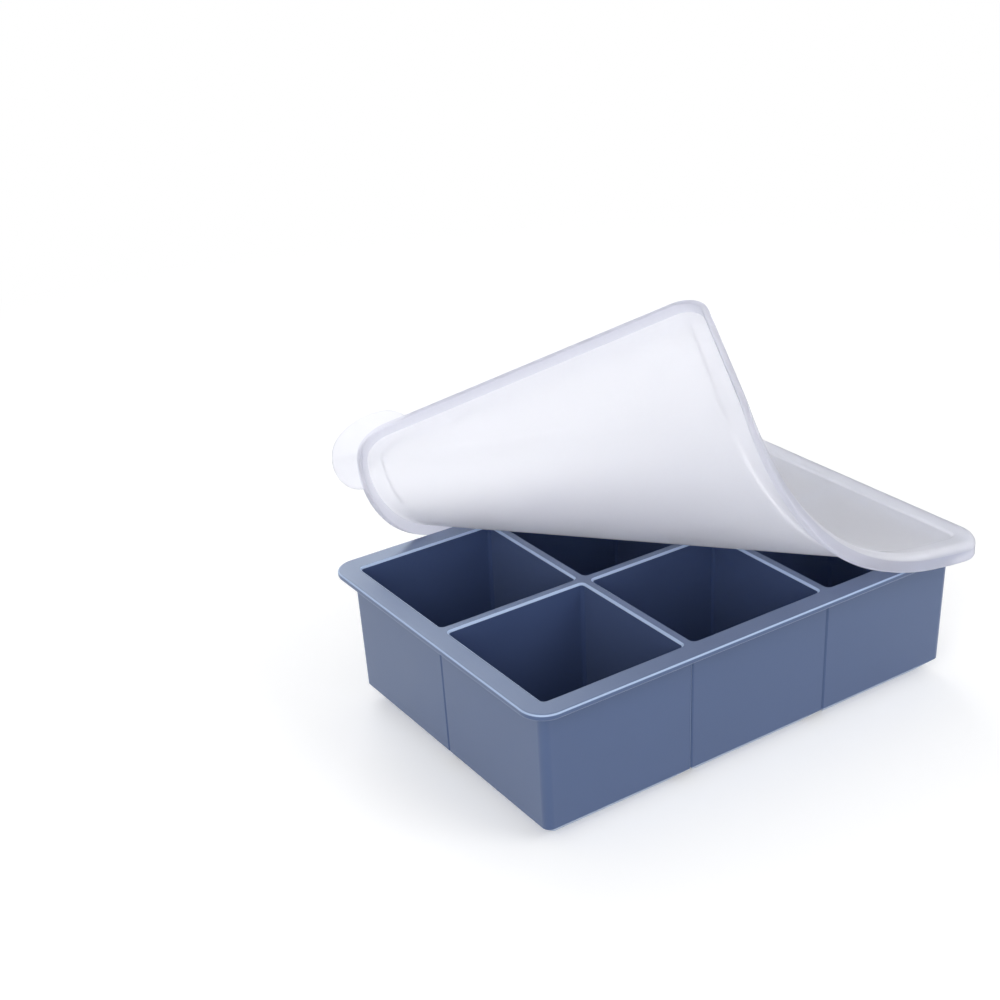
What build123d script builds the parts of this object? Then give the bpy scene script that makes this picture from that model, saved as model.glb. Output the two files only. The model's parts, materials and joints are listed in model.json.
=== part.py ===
import os
from math import cos, radians, sin, sqrt, tan

from build123d import *

# Freezer tray with six cups and a soft lid that is peeled back from its tab corner.
# Origin: middle of the tray's underside. X along the tray, Z up, millimetres.

# Tray
columns = 3
rows = 2
cup_size = 48.0  # square mouth of a cup
cup_round = 1.2  # radius of a cup's inner corners
cup_draft = 1.0  # degrees that a cup's walls lean in towards the floor
floor_thickness = 2.5
divider = 3.5  # wall between two mouths
mouth_bevel = 0.6  # softened edge round each mouth
tray_height = 46.0
tray_wall = 2.0  # outer wall at the rim
tray_corner = 2.5  # radius of the tray's upright corners
tray_draft = 1.2  # degrees that the outer walls lean in towards the foot
foot_bevel = 5.0  # round the foot, and in the notches under the dividers
foot_corner = 1.0
rim_width = 7.2  # from a mouth to the rim's edge
rim_thickness = 2.0
rim_corner = 7.6
rim_round = 0.7
crease_depth = 0.5  # upright crease in the outer walls at each divider

# Lid, as moulded: flat, with a skirt that hangs round the tray's rim
rim_clearance = 1.2  # between the rim's edge and the top of the skirt
panel_clearance = 0.1  # between the rim and the panel
panel_thickness = 1.7
border_height = 0.8  # raised border above the panel
border_width = 7.0
border_slope = 35.0  # degrees from upright
border_round = 2.3
panel_corner = 3.5  # radius of the sunk panel's corners
skirt_wall = 1.7
skirt_flare = 10.0  # degrees that the skirt's inside opens downwards
skirt_drop = 3.2  # below the top of the rim
tab_radius = 13.8
tab_thickness = 2.0
tab_round = 0.7
tab_inset = 4.8  # from both of the lid's sides at its corner to the tab's centre

# Peel: the lid curls up over straight bend lines that fan out across it
bend_count = 12
curl_start = 47.8  # where the curl begins on the tray's long axis
curl_length = 96.2  # from there to the curl's end, square to the bend lines
curl_turn = 157.8  # degrees turned over that length
first_heading = 138.2  # degrees from +X to the lines at the curl's start
last_heading = 111.9  # and at its end
strip_gap = 0.1  # between neighbouring strips of the lid

mouth_length = columns * cup_size + (columns - 1) * divider
mouth_width = rows * cup_size + (rows - 1) * divider
cup_pitch = cup_size + divider
body_length = mouth_length + 2 * tray_wall
body_width = mouth_width + 2 * tray_wall
body_height = tray_height - rim_thickness
wall_lean = (body_height - foot_bevel) * tan(radians(tray_draft))
knee_length = body_length - 2 * wall_lean
knee_width = body_width - 2 * wall_lean
rim_length = mouth_length + 2 * rim_width
rim_breadth = mouth_width + 2 * rim_width
skirt_length = rim_length + 2 * rim_clearance
skirt_breadth = rim_breadth + 2 * rim_clearance
skirt_corner = rim_corner + rim_clearance
skirt_bottom = tray_height - skirt_drop
panel_bottom = tray_height + panel_clearance
lid_length = skirt_length + 2 * skirt_wall
lid_breadth = skirt_breadth + 2 * skirt_wall
lid_corner = skirt_corner + skirt_wall
lid_top = panel_bottom + panel_thickness + border_height

os.makedirs("parts", exist_ok=True)


def top_edges(piece):
    return piece.faces().sort_by(Axis.Z)[-1].edges()


def bottom_edges(piece):
    return piece.faces().sort_by(Axis.Z)[0].edges()


# The space inside one cup
with BuildPart() as cup:
    with BuildSketch(Plane.XY.offset(tray_height)):
        Rectangle(cup_size, cup_size)
    extrude(amount=tray_height - floor_thickness, dir=(0, 0, -1), taper=cup_draft)
    fillet(cup.edges() - top_edges(cup), cup_round)

# The flat rim, which the lid grips
with BuildPart() as rim:
    with BuildSketch(Plane.XY.offset(body_height)):
        RectangleRounded(rim_length, rim_breadth, rim_corner)
    extrude(amount=rim_thickness)
    fillet(top_edges(rim) + bottom_edges(rim), rim_round)

# A notch under a divider, along Y
with BuildPart() as notch:
    with BuildSketch(Plane.XZ):
        Polygon((-foot_bevel, 0), (foot_bevel, 0), (0, foot_bevel), align=None)
    extrude(amount=body_length / 2, both=True)

# The tray
with BuildPart() as tray:
    with BuildSketch(Plane.XY.offset(body_height)):
        RectangleRounded(body_length, body_width, tray_corner)
    with BuildSketch(Plane.XY.offset(foot_bevel)):
        RectangleRounded(knee_length, knee_width, tray_corner)
    with BuildSketch():
        RectangleRounded(knee_length - 2 * foot_bevel, knee_width - 2 * foot_bevel, foot_corner)
    loft(ruled=True)
    with GridLocations(cup_pitch, 0, columns - 1, 1):
        add(notch.part, mode=Mode.SUBTRACT)
    with GridLocations(0, cup_pitch, 1, rows - 1):
        add(notch.part, rotation=(0, 0, 90), mode=Mode.SUBTRACT)
    # creases that follow the leaning walls at the dividers
    for side in (-1, 1):
        with BuildSketch(Plane.XY.offset(body_height)):
            with Locations((0, side * body_width / 2)):
                with GridLocations(cup_pitch, 0, columns - 1, 1):
                    RegularPolygon(crease_depth, 4)
        down = (0, -side * sin(radians(tray_draft)), -cos(radians(tray_draft)))
        extrude(amount=body_height, dir=down, mode=Mode.SUBTRACT)
        with BuildSketch(Plane.XY.offset(body_height)):
            with Locations((side * body_length / 2, 0)):
                with GridLocations(0, cup_pitch, 1, rows - 1):
                    RegularPolygon(crease_depth, 4)
        down = (-side * sin(radians(tray_draft)), 0, -cos(radians(tray_draft)))
        extrude(amount=body_height, dir=down, mode=Mode.SUBTRACT)
    add(rim.part)
    with GridLocations(cup_pitch, cup_pitch, columns, rows):
        add(cup.part, mode=Mode.SUBTRACT)
    face = tray.faces().sort_by(Axis.Z)[-1]
    chamfer(face.edges() - face.outer_wire().edges(), mouth_bevel)
tray.part.label = "tray"
export_step(tray.part, "parts/tray.step")

# The pull tab, a disc at the skirt's foot
with BuildPart() as tab:
    with BuildSketch(Plane.XY.offset(skirt_bottom)):
        with Locations((tab_inset - lid_length / 2, lid_breadth / 2 - tab_inset)):
            Circle(tab_radius)
    extrude(amount=tab_thickness)
    fillet(tab.edges(), tab_round)

# The hollow of the skirt
with BuildPart() as hollow:
    with BuildSketch(Plane.XY.offset(panel_bottom)):
        RectangleRounded(skirt_length, skirt_breadth, skirt_corner)
    extrude(amount=panel_bottom - skirt_bottom, dir=(0, 0, -1), taper=-skirt_flare)

# The lid in one piece, lying flat on the tray
with BuildPart() as lid:
    with BuildSketch(Plane.XY.offset(skirt_bottom)):
        RectangleRounded(lid_length, lid_breadth, lid_corner)
    extrude(amount=lid_top - skirt_bottom)
    fillet(top_edges(lid), border_round)
    with BuildSketch(Plane.XY.offset(lid_top)):
        RectangleRounded(
            lid_length - 2 * border_width, lid_breadth - 2 * border_width, panel_corner
        )
    extrude(amount=border_height, dir=(0, 0, -1), taper=border_slope, mode=Mode.SUBTRACT)
    add(tab.part)
    add(hollow.part, mode=Mode.SUBTRACT)

# The bend lines on the flat lid, from the seated end to the tab, each with the way across it.
# The curl tightens steadily, so bends that turn alike crowd towards the tab, and the points
# that they turn about lie on an arc.
bends = []
bend_angle = curl_turn / bend_count
fan = radians(last_heading - first_heading)
first_line = Vector(cos(radians(first_heading)), sin(radians(first_heading)))
for number in range(bend_count):
    heading = radians(first_heading) + fan * sqrt((number + 0.5) / bend_count)
    line = Vector(cos(heading), sin(heading))
    across = Vector(-sin(heading), cos(heading))
    crossing = Vector(curl_start, 0, lid_top) + (line - first_line) * (curl_length / fan)
    bends.append((Axis(crossing, line), across))

# The lid, cut at the bend lines and curled up from its tab
for number in range(bend_count + 1):
    with BuildPart() as strip:
        add(lid.part)
        if number > 0:
            line, across = bends[number - 1]
            split(bisect_by=Plane(line.position + across * strip_gap / 2, z_dir=across))
        if number < bend_count:
            line, across = bends[number]
            edge = Plane(line.position - across * strip_gap / 2, z_dir=across)
            split(bisect_by=edge, keep=Keep.BOTTOM)
    curled = strip.part
    for line, across in reversed(bends[:number]):
        curled = curled.rotate(line, bend_angle)
    curled.label = f"lid_fold_{number}"
    if number == 0:
        curled.label = "lid_seat"
    if number == bend_count:
        curled.label = "lid_flap"
    export_step(curled, f"parts/{curled.label}.step")
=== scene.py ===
import json
import math

import bmesh
import bpy
from mathutils import Matrix, Quaternion, Vector
from mathutils.geometry import intersect_line_line

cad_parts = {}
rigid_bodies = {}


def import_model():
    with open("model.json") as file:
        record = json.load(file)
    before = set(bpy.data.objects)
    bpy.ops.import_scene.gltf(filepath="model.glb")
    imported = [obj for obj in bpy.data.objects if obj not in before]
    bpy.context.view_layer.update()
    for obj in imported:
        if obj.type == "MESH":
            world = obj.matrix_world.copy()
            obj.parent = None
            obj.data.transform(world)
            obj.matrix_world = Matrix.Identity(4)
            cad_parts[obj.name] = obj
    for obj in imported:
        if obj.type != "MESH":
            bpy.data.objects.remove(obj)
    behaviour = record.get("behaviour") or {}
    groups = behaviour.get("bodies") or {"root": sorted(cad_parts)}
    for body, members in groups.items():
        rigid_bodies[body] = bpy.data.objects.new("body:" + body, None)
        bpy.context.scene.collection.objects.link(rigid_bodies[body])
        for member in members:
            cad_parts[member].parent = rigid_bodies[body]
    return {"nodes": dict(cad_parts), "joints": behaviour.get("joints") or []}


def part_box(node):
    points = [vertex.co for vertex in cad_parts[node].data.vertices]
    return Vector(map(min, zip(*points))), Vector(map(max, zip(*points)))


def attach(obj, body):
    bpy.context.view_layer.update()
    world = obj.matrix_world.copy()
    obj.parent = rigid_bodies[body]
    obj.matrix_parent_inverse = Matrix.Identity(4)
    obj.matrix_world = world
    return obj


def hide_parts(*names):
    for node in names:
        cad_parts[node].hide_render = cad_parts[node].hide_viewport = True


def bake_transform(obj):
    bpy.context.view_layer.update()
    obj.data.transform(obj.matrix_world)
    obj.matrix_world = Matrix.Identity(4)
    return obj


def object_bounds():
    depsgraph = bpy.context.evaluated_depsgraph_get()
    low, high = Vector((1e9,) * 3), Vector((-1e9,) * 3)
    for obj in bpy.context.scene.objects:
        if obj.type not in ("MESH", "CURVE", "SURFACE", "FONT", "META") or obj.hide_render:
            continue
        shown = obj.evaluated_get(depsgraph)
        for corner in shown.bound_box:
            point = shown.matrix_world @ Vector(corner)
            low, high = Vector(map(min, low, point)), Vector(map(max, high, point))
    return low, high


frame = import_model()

mm = 0.001
cadLow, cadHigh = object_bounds()
print("frame loaded:", len(frame["nodes"]), "nodes")


def addNode(tree, kind, values=None, **settings):
    node = tree.nodes.new(kind)
    for name, value in settings.items():
        setattr(node, name, value)
    for name, value in (values or {}).items():
        if isinstance(value, bpy.types.NodeSocket):
            tree.links.new(value, node.inputs[name])
        else:
            node.inputs[name].default_value = value
    return node


def newMaterial(name, viewColor):
    material = bpy.data.materials.new(name)
    material.use_nodes = True
    material.node_tree.nodes.clear()
    material.diffuse_color = viewColor
    return material, material.node_tree


# The stage: a pale floor, a soft sky and three lamps
stage = {
    "floorSize": 16.0,
    "floorGap": 0.1 * mm,  # below the feet
    "floorColor": (0.90, 0.90, 0.90, 1),
    "floorLift": 0.24,  # what is seen on top of the lit floor
    "paperNear": 0.28,  # from here outwards the floor fades to plain white
    "paperFar": 0.56,
    "skyHorizon": 0.30,  # light from the sides
    "skyZenith": 0.62,  # light from above
    "lampAim": (0, 0, 0.05),
    "lamps": {  # place, size across and power
        "keyLamp": ((-0.68, -0.58, 0.44), 0.80, 4.8),
        "fillLamp": ((0.44, -0.78, 0.60), 0.70, 3.2),
        "backLamp": ((0.20, 0.90, 0.58), 0.70, 3.6),
    },
}


def seenRays(tree):
    # 1 where the camera, a reflection or a see-through wall looks at the surroundings
    ray = addNode(tree, "ShaderNodeLightPath")
    seen = ray.outputs["Is Camera Ray"]
    for name in ("Is Glossy Ray", "Is Transmission Ray"):
        both = {0: seen, 1: ray.outputs[name]}
        seen = addNode(tree, "ShaderNodeMath", both, operation="MAXIMUM").outputs[0]
    return seen


def makeFloor():
    half = stage["floorSize"] / 2
    mesh = bpy.data.meshes.new("floor")
    corners = [(-half, -half), (half, -half), (half, half), (-half, half)]
    height = cadLow.z - stage["floorGap"]
    mesh.from_pydata([(x, y, height) for x, y in corners], [], [(0, 1, 2, 3)])
    material, tree = newMaterial("floorPaper", stage["floorColor"])
    matte = addNode(tree, "ShaderNodeBsdfDiffuse", {"Color": stage["floorColor"]})
    seen = seenRays(tree)
    lift = addNode(tree, "ShaderNodeMath", {0: seen, 1: stage["floorLift"]}, operation="MULTIPLY")
    place = addNode(tree, "ShaderNodeTexCoord").outputs["Object"]
    reach = addNode(tree, "ShaderNodeVectorMath", {0: place}, operation="LENGTH")
    away = addNode(
        tree,
        "ShaderNodeMapRange",
        {
            "Value": reach.outputs["Value"],
            "From Min": stage["paperNear"],
            "From Max": stage["paperFar"],
        },
        interpolation_type="SMOOTHSTEP",
    ).outputs["Result"]
    plain = addNode(tree, "ShaderNodeMath", {0: seen, 1: away}, operation="MULTIPLY")
    white = addNode(tree, "ShaderNodeEmission", {"Strength": 1.0})
    glow = addNode(tree, "ShaderNodeEmission", {"Strength": lift.outputs[0]})
    lit = addNode(tree, "ShaderNodeAddShader", {0: matte.outputs[0], 1: glow.outputs[0]})
    whole = addNode(
        tree,
        "ShaderNodeMixShader",
        {0: plain.outputs[0], 1: lit.outputs[0], 2: white.outputs[0]},
    )
    addNode(tree, "ShaderNodeOutputMaterial", {"Surface": whole.outputs[0]})
    mesh.materials.append(material)
    floor = bpy.data.objects.new("floor", mesh)
    bpy.context.collection.objects.link(floor)
    return floor


def makeWorld():
    world = bpy.data.worlds.new("studio")
    bpy.context.scene.world = world
    world.use_nodes = True
    tree = world.node_tree
    tree.nodes.clear()
    way = addNode(tree, "ShaderNodeTexCoord").outputs["Generated"]
    height = addNode(tree, "ShaderNodeSeparateXYZ", {0: way}).outputs["Z"]
    light = addNode(
        tree,
        "ShaderNodeMapRange",
        {"Value": height, "To Min": stage["skyHorizon"], "To Max": stage["skyZenith"]},
    ).outputs["Result"]
    strength = addNode(
        tree, "ShaderNodeMix", {"Factor": seenRays(tree), 2: light, 3: 1.0}, data_type="FLOAT"
    )
    sky = addNode(
        tree, "ShaderNodeBackground", {"Color": (1, 1, 1, 1), "Strength": strength.outputs[0]}
    )
    addNode(tree, "ShaderNodeOutputWorld", {"Surface": sky.outputs[0]})


def makeLamp(name, place, size, power):
    lamp = bpy.data.lights.new(name, "AREA")
    lamp.shape = "DISK"
    lamp.size = size
    lamp.energy = power
    holder = bpy.data.objects.new(name, lamp)
    holder.location = place
    aim = Vector(stage["lampAim"]) - Vector(place)
    holder.rotation_mode = "QUATERNION"
    holder.rotation_quaternion = aim.to_track_quat("-Z", "Y")
    bpy.context.collection.objects.link(holder)
    return holder


floor = makeFloor()
makeWorld()
[makeLamp(name, *lamp) for name, lamp in stage["lamps"].items()]
bpy.context.scene.view_settings.view_transform = "Standard"
print("stage ready")


cameraView = {
    "place": (-0.28225, -0.36132, 0.27737),
    "azimuth": -32.27,  # degrees round the tray
    "elevation": 24.70,
    "roll": -3.11,
    "lens": 59.19,
    "sensor": 36,
    "nearest": 0.01,
}


def makeCamera():
    around = math.radians(cameraView["azimuth"])
    above = math.radians(cameraView["elevation"])
    ahead = Vector(
        (
            -math.sin(around) * math.cos(above),
            math.cos(around) * math.cos(above),
            -math.sin(above),
        )
    )
    turn = ahead.to_track_quat("-Z", "Y")
    turn = turn @ Quaternion((0, 0, 1), math.radians(cameraView["roll"]))
    lens = bpy.data.cameras.new("camera")
    lens.lens = cameraView["lens"]
    lens.sensor_width = cameraView["sensor"]
    lens.clip_start = cameraView["nearest"]
    camera = bpy.data.objects.new("camera", lens)
    camera.location = cameraView["place"]
    camera.rotation_mode = "QUATERNION"
    camera.rotation_quaternion = turn
    bpy.context.collection.objects.link(camera)
    bpy.context.scene.camera = camera


makeCamera()
print("camera ready")


mouldGrain = {  # the same on both silicones
    "cloudDetail": 4.0,
    "cloudRoughness": 0.6,
    "grainDetail": 2.0,
    "grainDepth": 0.012 * mm,
}
trayFinish = {
    "color": (0.046, 0.072, 0.172, 1),
    "colorDeep": (0.038, 0.061, 0.150, 1),
    "roughness": 0.40,
    "roughnessSpread": 0.06,
    "haze": 1.0,  # strength of the soft shine
    "hazeTint": (0.62, 0.80, 1.0, 1),
    "bloom": 0.55,  # pale edge shine, seen from the side
    "bloomTint": (0.70, 0.82, 1.0, 1),
    "bloomSpread": 0.4,
    "edgeColor": (0.36, 0.45, 0.64, 1),  # painted highlight on the thin upper edges
    "highlightFoot": 43.0 * mm,  # height from which the painted highlight starts
    "highlightBlend": 1.0 * mm,
    "highlightLean": ((0.15, 0.55), (0.98, 0.85)),  # upward lean where the painted highlight comes in and goes out
    "refraction": 1.5,
    "cloudScale": 38.0,
    "grainScale": 2600.0,
}
lidFinish = {
    "color": (0.945, 0.95, 0.995, 1),
    "colorDeep": (0.915, 0.925, 0.985, 1),
    "edgeColor": (0.78, 0.79, 0.88, 1),  # the thick skirt lets less light through
    "edgeColorDeep": (0.74, 0.75, 0.85, 1),
    "roughness": 0.48,
    "roughnessSpread": 0.05,
    "shine": 0.35,
    "through": 0.74,  # share of the light that passes into the wall
    "refraction": 1.41,
    "cloudScale": 30.0,
    "grainScale": 2200.0,
}


def siliconeBase(tree, finish, colorName="color"):
    # soft clouds in the colour and the gloss, over a fine moulded grain
    place = addNode(tree, "ShaderNodeTexCoord").outputs["Object"]
    clouds = addNode(
        tree,
        "ShaderNodeTexNoise",
        {
            "Vector": place,
            "Scale": finish["cloudScale"],
            "Detail": mouldGrain["cloudDetail"],
            "Roughness": mouldGrain["cloudRoughness"],
        },
    )
    tint = addNode(
        tree,
        "ShaderNodeMix",
        {
            "Factor": clouds.outputs["Fac"],
            6: finish[colorName + "Deep"],
            7: finish[colorName],
        },
        data_type="RGBA",
    )
    gloss = addNode(
        tree,
        "ShaderNodeMapRange",
        {
            "Value": clouds.outputs["Fac"],
            "To Min": finish["roughness"] - finish["roughnessSpread"],
            "To Max": finish["roughness"] + finish["roughnessSpread"],
        },
    )
    grain = addNode(
        tree,
        "ShaderNodeTexNoise",
        {
            "Vector": place,
            "Scale": finish["grainScale"],
            "Detail": mouldGrain["grainDetail"],
        },
    )
    bump = addNode(
        tree,
        "ShaderNodeBump",
        {"Strength": 1.0, "Distance": mouldGrain["grainDepth"], "Height": grain.outputs["Fac"]},
    )
    return tint.outputs[2], gloss.outputs["Result"], bump.outputs["Normal"]


def softStep(tree, value, first, last):
    return addNode(
        tree,
        "ShaderNodeMapRange",
        {"Value": value, "From Min": first, "From Max": last},
        interpolation_type="SMOOTHSTEP",
    ).outputs["Result"]


def paintedEdgeHighlight(tree, tint):
    # painted highlight on the bevels and rounds at the rim, which lean between upright and level
    facing = addNode(tree, "ShaderNodeNewGeometry").outputs["Normal"]
    facing = addNode(tree, "ShaderNodeSeparateXYZ", {0: facing}).outputs["Z"]
    place = addNode(tree, "ShaderNodeTexCoord").outputs["Object"]
    height = addNode(tree, "ShaderNodeSeparateXYZ", {0: place}).outputs["Z"]
    foot = trayFinish["highlightFoot"]
    share = softStep(tree, height, foot, foot + trayFinish["highlightBlend"])
    for first, last in trayFinish["highlightLean"]:
        both = {0: share, 1: softStep(tree, facing, first, last)}
        share = addNode(tree, "ShaderNodeMath", both, operation="MULTIPLY").outputs[0]
    edge = {"Factor": share, 6: tint, 7: trayFinish["edgeColor"]}
    return addNode(tree, "ShaderNodeMix", edge, data_type="RGBA").outputs[2]


def traySilicone():
    material, tree = newMaterial("traySilicone", trayFinish["color"])
    tint, gloss, relief = siliconeBase(tree, trayFinish)
    # painted highlight along the rim's upper edges, mixed into the base colour
    tint = paintedEdgeHighlight(tree, tint)
    body = addNode(
        tree,
        "ShaderNodeBsdfPrincipled",
        {
            "Base Color": tint,
            "Roughness": gloss,
            "Normal": relief,
            "IOR": trayFinish["refraction"],
            "Specular IOR Level": trayFinish["haze"],
            "Specular Tint": trayFinish["hazeTint"],
            "Sheen Weight": trayFinish["bloom"],
            "Sheen Roughness": trayFinish["bloomSpread"],
            "Sheen Tint": trayFinish["bloomTint"],
        },
    )
    addNode(tree, "ShaderNodeOutputMaterial", {"Surface": body.outputs[0]})
    return material


def lidSilicone(name, colorName):
    material, tree = newMaterial(name, lidFinish[colorName])
    tint, gloss, relief = siliconeBase(tree, lidFinish, colorName)
    body = addNode(
        tree,
        "ShaderNodeBsdfPrincipled",
        {
            "Base Color": tint,
            "Roughness": gloss,
            "Normal": relief,
            "IOR": lidFinish["refraction"],
            "Specular IOR Level": lidFinish["shine"],
            "Transmission Weight": lidFinish["through"],
        },
    )
    addNode(tree, "ShaderNodeOutputMaterial", {"Surface": body.outputs[0]})
    return material


def clearJoin():
    # the inside faces where two lengths of the lid meet
    material, tree = newMaterial("clearJoin", (1, 1, 1, 1))
    clear = addNode(tree, "ShaderNodeBsdfTransparent")
    addNode(tree, "ShaderNodeOutputMaterial", {"Surface": clear.outputs[0]})
    return material


trayMaterial = traySilicone()
lidMaterial = lidSilicone("lidSilicone", "color")
edgeMaterial = lidSilicone("lidEdge", "edgeColor")
joinMaterial = clearJoin()
lidMaterials = [lidMaterial, edgeMaterial, joinMaterial]
joinIndex = lidMaterials.index(joinMaterial)
print("silicones ready")


tray = frame["nodes"]["tray"]
tray.data.materials.clear()
tray.data.materials.append(trayMaterial)
print("tray dressed")


def arc(middle, radius, first, last, steps=6):
    turn = [math.radians(first + (last - first) * step / steps) for step in range(steps + 1)]
    return [(middle[0] + radius * math.cos(a), middle[1] + radius * math.sin(a)) for a in turn]


# Small pads that thicken the floor's four outer corners, where the foot's bevel comes close
cornerPad = {
    "cupCorner": (75.5 * mm, 49.75 * mm),  # outermost corner of the mouths
    "cupDraft": 1.0,  # degrees that the cups lean in
    "cupFloor": 2.5 * mm,
    "footCorner": (71.683 * mm, 45.933 * mm),  # corner of the foot's underside
    "footRound": 1.0 * mm,
    "kneeRound": 2.5 * mm,
    "kneeHeight": 5.0 * mm,
    "depth": 0.3 * mm,  # of the pad below the floor
    "outerRise": 1.8 * mm,  # of the pad behind the wall
    "spread": 2.8 * mm,  # over the floor and up the corner
    "skin": 0.05 * mm,  # between the pad and the tray's outside
}


def bevelAt(height):
    # the corner of the bevelled foot at this height, and its radius
    corner = [side + height for side in cornerPad["footCorner"]]
    growth = (cornerPad["kneeRound"] - cornerPad["footRound"]) / cornerPad["kneeHeight"]
    return corner, cornerPad["footRound"] + growth * height


def padPoints():
    floor, spread, skin = cornerPad["cupFloor"], cornerPad["spread"], cornerPad["skin"]
    points = []
    for height in (floor - cornerPad["depth"], floor + cornerPad["outerRise"]):
        corner, radius = bevelAt(height)
        middle = [side - radius for side in corner]
        points += [(x, y, height) for x, y in arc(middle, radius - skin, 0, 90)]
    (x, y), radius = bevelAt(floor - skin)
    points += [(x - skin, y - spread, floor - skin), (x - spread, y - skin, floor - skin)]
    lean = (tray.dimensions.z - floor - spread) * math.tan(math.radians(cornerPad["cupDraft"]))
    x, y = (side - lean + skin for side in cornerPad["cupCorner"])
    return [*points, (x, y, floor + spread)]


def makePads():
    work = bmesh.new()
    for sideX in (-1, 1):
        for sideY in (-1, 1):
            corners = [work.verts.new((x * sideX, y * sideY, z)) for x, y, z in padPoints()]
            hull = bmesh.ops.convex_hull(work, input=corners)
            inner = [item for item in hull["geom_interior"] if isinstance(item, bmesh.types.BMVert)]
            bmesh.ops.delete(work, geom=inner, context="VERTS")
    bmesh.ops.recalc_face_normals(work, faces=work.faces[:])
    mesh = bpy.data.meshes.new("cupCorners")
    work.to_mesh(mesh)
    work.free()
    mesh.materials.append(trayMaterial)
    pads = bpy.data.objects.new("cupCorners", mesh)
    bpy.context.collection.objects.link(pads)
    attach(pads, "tray")


makePads()
print("cup corners padded")


# The lid is moulded flat, then curled along the bends of the frame
lidForm = {
    "corner": 10.5 * mm,
    "sweepInset": 9.5 * mm,  # from the lid's edge to the path that the border follows
    "panelThickness": 1.7 * mm,
    "borderHeight": 0.8 * mm,
    "borderWidth": 7.0 * mm,
    "topRound": 2.4 * mm,
    "slopeRound": 1.0 * mm,
    "skirtWall": 2.2 * mm,
    "skirtFlare": 6.0,  # degrees that the skirt's inside opens downwards
    "skirtRound": 0.35 * mm,
    "cornerSteps": 18,
    "roundSteps": 8,
    "footSteps": 3,
    "tabRadius": 13.8 * mm,
    "tabThickness": 2.0 * mm,
    "tabLift": 0.05 * mm,  # above the skirt's foot
    "tabInset": 4.8 * mm,  # from the lid's two edges to the tab's middle
    "tabDepth": 0.375,  # share of the skirt's wall that the tab ends in
    "tabSteps": 72,
    "bendStep": 1.0 * mm,  # spacing of the edges across a bend
    "bendLeast": 4,  # edges across a bend, at least
    "sharpAngle": 38.0,  # degrees from which an edge stays sharp
    "closeness": 0.001 * mm,  # corners this close are one
    "skirtSlack": 0.01 * mm,  # keeps the panel and the tab out of the skirt's tone
}

seatLow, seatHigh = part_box("lid_seat")
lidTop = seatHigh.z
lidBottom = seatLow.z
lidLength = 2 * seatHigh.x
lidBreadth = 2 * seatHigh.y
panelTop = lidTop - lidForm["borderHeight"]
panelBottom = panelTop - lidForm["panelThickness"]


def borderProfile():
    # x outwards from the path, y down from the panel's top
    edge = lidForm["sweepInset"]
    rise = lidForm["borderHeight"]
    topRound = lidForm["topRound"]
    slope = lidForm["slopeRound"]
    foot = lidForm["skirtRound"]
    drop = panelTop - lidBottom
    wall = lidForm["skirtWall"]
    flare = math.tan(math.radians(lidForm["skirtFlare"]))
    border = edge - lidForm["borderWidth"]
    bend = math.degrees(math.acos(1 - rise / (2 * slope)))
    shift = slope * math.sin(math.radians(bend))
    points = [(0, 0)]
    points += arc((border - shift, -slope), slope, 90, 90 - bend)
    points += arc((border + shift, slope - rise), slope, 270 - bend, 270)[1:]
    points += arc((edge - topRound, topRound - rise), topRound, -90, 0, lidForm["roundSteps"])
    points += arc((edge - foot, drop - foot), foot, 0, 90, lidForm["footSteps"])
    thin = wall - (panelBottom - lidBottom) * flare
    points += arc((edge - thin + foot, drop - foot), foot, 90, 180, lidForm["footSteps"])
    inside = panelTop - panelBottom
    return [*points, (edge - wall, inside), (0, inside)]


def profileObject(name, points):
    curve = bpy.data.curves.new(name, "CURVE")
    curve.dimensions = "3D"
    spline = curve.splines.new("POLY")
    spline.points.add(len(points) - 1)
    for point, (x, y) in zip(spline.points, points):
        point.co = (x, y, 0, 1)
    holder = bpy.data.objects.new(name, curve)
    bpy.context.collection.objects.link(holder)
    return holder


def treeInputs(tree, sockets):
    tree.interface.new_socket("Geometry", in_out="OUTPUT", socket_type="NodeSocketGeometry")
    for name, kind in sockets.items():
        tree.interface.new_socket(name, in_out="INPUT", socket_type="NodeSocket" + kind)
    return addNode(tree, "NodeGroupInput").outputs


def roundedPath(tree, length, breadth, corner, steps):
    frameLine = addNode(
        tree, "GeometryNodeCurvePrimitiveQuadrilateral", {"Width": length, "Height": breadth}
    )
    return addNode(
        tree,
        "GeometryNodeFilletCurve",
        {"Curve": frameLine.outputs[0], "Count": steps, "Radius": corner},
        mode="POLY",
    ).outputs[0]


def fillAt(tree, path, height, facesDown=False):
    face = addNode(tree, "GeometryNodeFillCurve", {"Curve": path}, mode="NGONS").outputs[0]
    if facesDown:
        face = addNode(tree, "GeometryNodeFlipFaces", {"Mesh": face}).outputs[0]
    lift = addNode(tree, "ShaderNodeCombineXYZ", {"Z": height})
    return addNode(
        tree, "GeometryNodeTransform", {"Geometry": face, "Translation": lift.outputs[0]}
    ).outputs[0]


def closedSweep(tree, path, profile, top, bottom):
    # a wall swept along the path, closed by a face over it and one under it
    wall = addNode(
        tree, "GeometryNodeCurveToMesh", {"Curve": path, "Profile Curve": profile}
    ).outputs[0]
    lift = addNode(tree, "ShaderNodeCombineXYZ", {"Z": top})
    wall = addNode(
        tree, "GeometryNodeTransform", {"Geometry": wall, "Translation": lift.outputs[0]}
    ).outputs[0]
    joined = addNode(tree, "GeometryNodeJoinGeometry")
    for part in (wall, fillAt(tree, path, top), fillAt(tree, path, bottom, True)):
        tree.links.new(part, joined.inputs[0])
    return addNode(
        tree,
        "GeometryNodeMergeByDistance",
        {"Geometry": joined.outputs[0], "Distance": lidForm["closeness"]},
    ).outputs[0]


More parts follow.
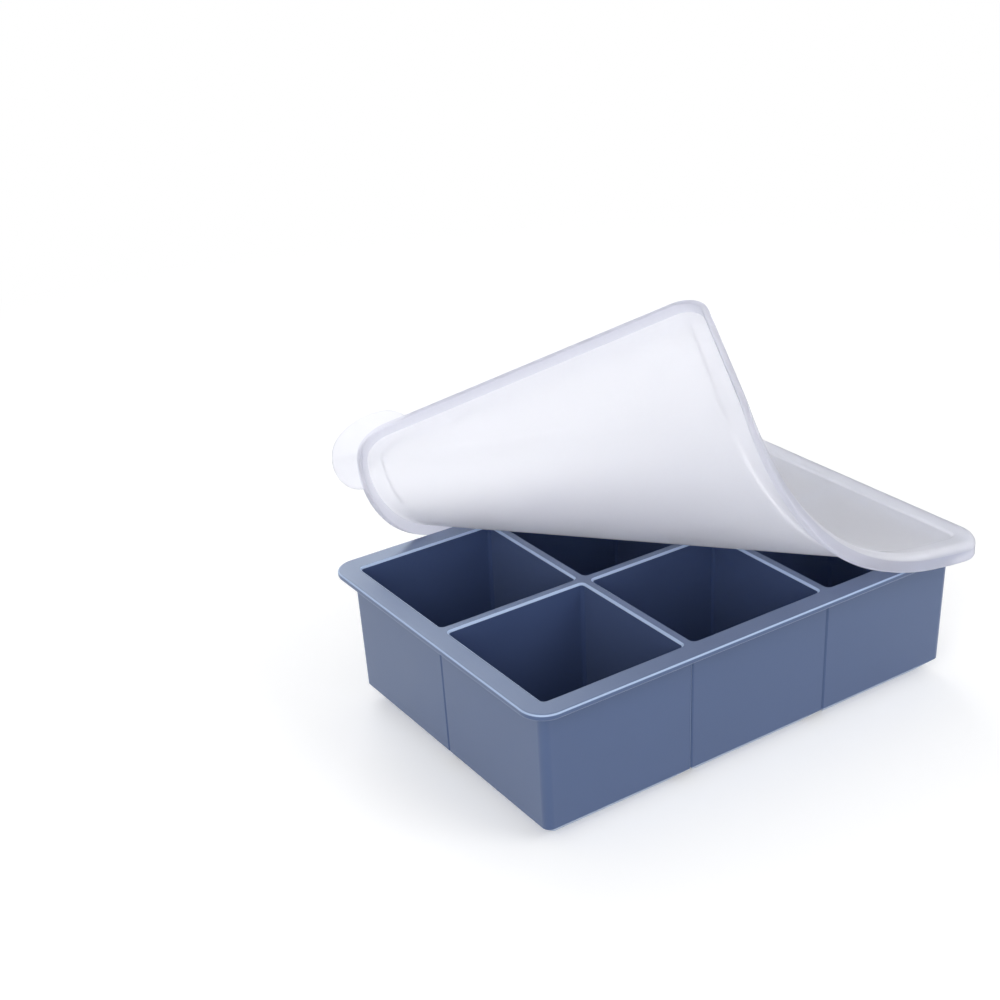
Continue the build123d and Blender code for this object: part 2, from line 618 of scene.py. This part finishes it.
def lidTree():
    tree = bpy.data.node_groups.new("lidMoulding", "GeometryNodeTree")
    inputs = treeInputs(
        tree,
        {
            "Path Length": "Float",
            "Path Breadth": "Float",
            "Path Corner": "Float",
            "Corner Steps": "Int",
            "Panel Top": "Float",
            "Panel Bottom": "Float",
            "Border Profile": "Object",
            "Hollow Length": "Float",
            "Hollow Breadth": "Float",
            "Hollow Corner": "Float",
            "Hollow Profile": "Object",
            "Hollow Top": "Float",
            "Hollow Bottom": "Float",
            "Tab Place": "Vector",
            "Tab Path": "Float",
            "Tab Steps": "Int",
            "Tab Top": "Float",
            "Tab Bottom": "Float",
            "Tab Profile": "Object",
            "Silicone": "Material",
        },
    )

    def profile(name):
        holder = addNode(tree, "GeometryNodeObjectInfo", {"Object": inputs[name]})
        return holder.outputs["Geometry"]

    steps = inputs["Corner Steps"]
    path = roundedPath(
        tree, inputs["Path Length"], inputs["Path Breadth"], inputs["Path Corner"], steps
    )
    lid = closedSweep(
        tree, path, profile("Border Profile"), inputs["Panel Top"], inputs["Panel Bottom"]
    )
    path = roundedPath(
        tree, inputs["Hollow Length"], inputs["Hollow Breadth"], inputs["Hollow Corner"], steps
    )
    hollow = closedSweep(
        tree, path, profile("Hollow Profile"), inputs["Hollow Top"], inputs["Hollow Bottom"]
    )
    ring = addNode(
        tree,
        "GeometryNodeCurvePrimitiveCircle",
        {"Resolution": inputs["Tab Steps"], "Radius": inputs["Tab Path"]},
    ).outputs[0]
    tab = closedSweep(tree, ring, profile("Tab Profile"), inputs["Tab Top"], inputs["Tab Bottom"])
    tab = addNode(
        tree, "GeometryNodeTransform", {"Geometry": tab, "Translation": inputs["Tab Place"]}
    ).outputs[0]
    tab = addNode(
        tree,
        "GeometryNodeMeshBoolean",
        {"Mesh 1": tab, "Mesh 2": hollow},
        operation="DIFFERENCE",
        solver="EXACT",
    ).outputs[0]
    whole = addNode(
        tree, "GeometryNodeMeshBoolean", {"Mesh 2": lid}, operation="UNION", solver="EXACT"
    )
    tree.links.new(tab, whole.inputs["Mesh 2"])
    real = addNode(tree, "GeometryNodeRealizeInstances", {"Geometry": whole.outputs[0]})
    painted = addNode(
        tree,
        "GeometryNodeSetMaterial",
        {"Geometry": real.outputs[0], "Material": inputs["Silicone"]},
    )
    addNode(tree, "NodeGroupOutput", {0: painted.outputs[0]})
    return tree


def meshFromTree(name, tree, values):
    holder = bpy.data.objects.new(name, bpy.data.meshes.new(name))
    bpy.context.collection.objects.link(holder)
    modifier = holder.modifiers.new(name, "NODES")
    modifier.node_group = tree
    for socket in tree.interface.items_tree:
        if socket.in_out == "INPUT":
            modifier[socket.identifier] = values[socket.name]
    graph = bpy.context.evaluated_depsgraph_get()
    mesh = bpy.data.meshes.new_from_object(holder.evaluated_get(graph))
    holder.modifiers.remove(modifier)
    bpy.data.objects.remove(holder)
    return mesh


def flatLid():
    inset = lidForm["sweepInset"]
    tabHalf = lidForm["tabThickness"] / 2
    tabBottom = lidBottom + lidForm["tabLift"]
    profiles = [
        profileObject("borderProfile", borderProfile()),
        profileObject("hollowProfile", [(0, 0), (0, panelTop - lidBottom + tabHalf)]),
        profileObject("tabProfile", arc((0, tabHalf), tabHalf, -90, 90, lidForm["roundSteps"])),
    ]
    # the disc ends inside the skirt's wall, so that the two moulded shapes overlap
    depth = lidForm["skirtWall"] * lidForm["tabDepth"]
    mesh = meshFromTree(
        "flatLid",
        lidTree(),
        {
            "Path Length": lidLength - 2 * inset,
            "Path Breadth": lidBreadth - 2 * inset,
            "Path Corner": lidForm["corner"] - inset,
            "Corner Steps": lidForm["cornerSteps"],
            "Panel Top": panelTop,
            "Panel Bottom": panelBottom,
            "Border Profile": profiles[0],
            "Hollow Length": lidLength - 2 * depth,
            "Hollow Breadth": lidBreadth - 2 * depth,
            "Hollow Corner": lidForm["corner"] - depth,
            "Hollow Profile": profiles[1],
            "Hollow Top": panelTop,
            "Hollow Bottom": lidBottom - tabHalf,
            "Tab Place": (
                lidForm["tabInset"] - lidLength / 2,
                lidBreadth / 2 - lidForm["tabInset"],
                0,
            ),
            "Tab Path": lidForm["tabRadius"] - tabHalf,
            "Tab Steps": lidForm["tabSteps"],
            "Tab Top": tabBottom + 2 * tabHalf,
            "Tab Bottom": tabBottom,
            "Tab Profile": profiles[2],
            "Silicone": lidMaterial,
        },
    )
    for holder in profiles:
        bpy.data.objects.remove(holder)
    return mesh


def readBends():
    # each bend in the flat lid's own place, and the turn of everything before it
    bends = []
    turned = Matrix.Identity(4)
    for joint in frame["joints"]:
        if joint["type"] != "hinge":
            continue
        flat = turned.inverted()
        point = flat @ Vector(joint["pos_m"])
        line = (flat.to_3x3() @ Vector(joint["axis"])).normalized()
        bends.append(
            {
                "before": joint["parent"],
                "after": joint["child"],
                "point": point,
                "line": line,
                "across": Vector((0, 0, 1)).cross(line),
                "heading": math.atan2(line.y, line.x),
                "angle": math.radians(-joint["range_deg"][0]),
                "turned": turned,
            }
        )
        swing = Matrix.Rotation(bends[-1]["angle"], 4, line)
        turned = turned @ Matrix.Translation(point) @ swing @ Matrix.Translation(-point)
    return bends, turned


bends, flapTurn = readBends()
first, last = bends[0], bends[-1]
apex = intersect_line_line(
    first["point"], first["point"] + first["line"], last["point"], last["point"] + last["line"]
)[0]  # the bend lines meet here, as on a cone

headings = [bend["heading"] for bend in bends]
limits = [(a + b) / 2 for a, b in zip(headings, headings[1:])]
limits = [2 * headings[0] - limits[0], *limits, 2 * headings[-1] - limits[-1]]


def headingOf(point):
    return math.atan2(apex.y - point.y, apex.x - point.x)


def zoneOf(heading):
    # 0 is the seated end, then one zone for each bend, then the flap
    return sum(heading < limit for limit in limits)


def curled(point):
    heading = headingOf(point)
    zone = zoneOf(heading)
    if zone == 0:
        return point
    if zone > len(bends):
        return flapTurn @ point
    bend = bends[zone - 1]
    offset = point - bend["point"]
    reach = (apex - point).dot(bend["line"])
    low = -reach * math.tan(limits[zone - 1] - bend["heading"])
    high = reach * math.tan(bend["heading"] - limits[zone])
    share = (offset.dot(bend["across"]) - low) / (high - low)
    cosine, sine = math.cos(bend["angle"]), math.sin(bend["angle"])
    # a smooth arc that leaves one flat and meets the next
    over = (1 - share) ** 2 * low + share**2 * high * cosine
    rise = share**2 * high * sine
    slope = Vector((share * high * cosine - (1 - share) * low, share * high * sine)).normalized()
    depth = point.z - lidTop
    over -= depth * slope.y
    rise += depth * slope.x
    foot = bend["point"] + bend["line"] * offset.dot(bend["line"])
    foot.z = lidTop
    return bend["turned"] @ (foot + bend["across"] * over + Vector((0, 0, rise)))


def cutHeadings():
    # the lid gets an edge at each limit, and as many between as the width asks
    reach = (apex - Vector((lidLength / 2, 0, 0))).length
    found = []
    for high, low in zip(limits, limits[1:]):
        steps = max(lidForm["bendLeast"], math.ceil((high - low) * reach / lidForm["bendStep"]))
        found += [high + (low - high) * step / steps for step in range(steps)]
    return [*found, limits[-1]]


def onSkirt(point):
    # below the panel and inside the rounded outline, so not on the tab
    corner, slack = lidForm["corner"], lidForm["skirtSlack"]
    overX = max(abs(point.x) - lidLength / 2 + corner, 0)
    overY = max(abs(point.y) - lidBreadth / 2 + corner, 0)
    return point.z < panelBottom - slack and math.hypot(overX, overY) < corner + slack


def curledLid(mesh):
    work = bmesh.new()
    work.from_mesh(mesh)
    for heading in cutHeadings():
        bmesh.ops.bisect_plane(
            work,
            geom=work.verts[:] + work.edges[:] + work.faces[:],
            dist=lidForm["closeness"],
            plane_co=apex,
            plane_no=(-math.sin(heading), math.cos(heading), 0),
        )
    zones = [zoneOf(headingOf(face.calc_center_median())) for face in work.faces]
    edgeIndex = lidMaterials.index(edgeMaterial)
    for face in work.faces:
        face.material_index = edgeIndex if onSkirt(face.calc_center_median()) else 0
    for vertex in work.verts:
        vertex.co = curled(vertex.co)
    mesh = bpy.data.meshes.new("curledLid")
    work.to_mesh(mesh)
    work.free()
    mesh.shade_smooth()
    mesh.set_sharp_from_angle(angle=math.radians(lidForm["sharpAngle"]))
    return mesh, zones


def lidPiece(name, mesh, zones, zone):
    # one length of the lid as a closed mesh that keeps the whole lid's smooth shading
    faces = [face for face, found in zip(mesh.polygons, zones) if found == zone]
    places = sorted({vertex for face in faces for vertex in face.vertices})
    index = {old: new for new, old in enumerate(places)}
    outlines = [[index[vertex] for vertex in face.vertices] for face in faces]
    normals = [mesh.corner_normals[c].vector for face in faces for c in face.loop_indices]
    sides = {side for outline in outlines for side in zip(outline, outline[1:] + outline[:1])}
    loose = {b: a for a, b in sides if (b, a) not in sides}
    caps = []
    while loose:
        start, corner = loose.popitem()
        ring = [start]
        while corner != start:
            ring.append(corner)
            corner = loose.pop(corner)
        caps.append(ring)
    piece = bpy.data.meshes.new(name)
    piece.from_pydata([mesh.vertices[old].co for old in places], [], outlines + caps)
    for material in lidMaterials:
        piece.materials.append(material)
    for face, old in zip(piece.polygons, faces):
        face.material_index = old.material_index
    for face in piece.polygons[len(faces) :]:
        face.material_index = joinIndex
        normals += [face.normal] * face.loop_total
    piece.shade_smooth()
    piece.normals_split_custom_set(normals)
    holder = bpy.data.objects.new(name, piece)
    bpy.context.collection.objects.link(holder)
    return holder


def bendPiece(piece, bend):
    # works out the direction halfway round the bend, which nothing uses, and bakes the piece's
    # placement into its mesh
    half = bend["angle"] / 2
    middle = bend["across"] * math.cos(half) + Vector((0, 0, math.sin(half)))
    middle = bend["turned"].to_3x3() @ middle
    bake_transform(piece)


mesh, zones = curledLid(flatLid())
print("lid curled:", len(mesh.polygons), "faces")
seat = lidPiece("lidSeat", mesh, zones, 0)
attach(seat, "lid_seat")
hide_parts("lid_seat")
for number, bend in enumerate(bends, 1):
    piece = lidPiece(f"lidBend{number}", mesh, zones, number)
    bendPiece(piece, bend)
    if bend["after"] != "lid_flap":
        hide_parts(bend["after"])
flap = lidPiece("lidFlap", mesh, zones, len(bends) + 1)
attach(flap, "lid_flap")
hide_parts("lid_flap")
print("lid pieces:", len(bends) + 2)
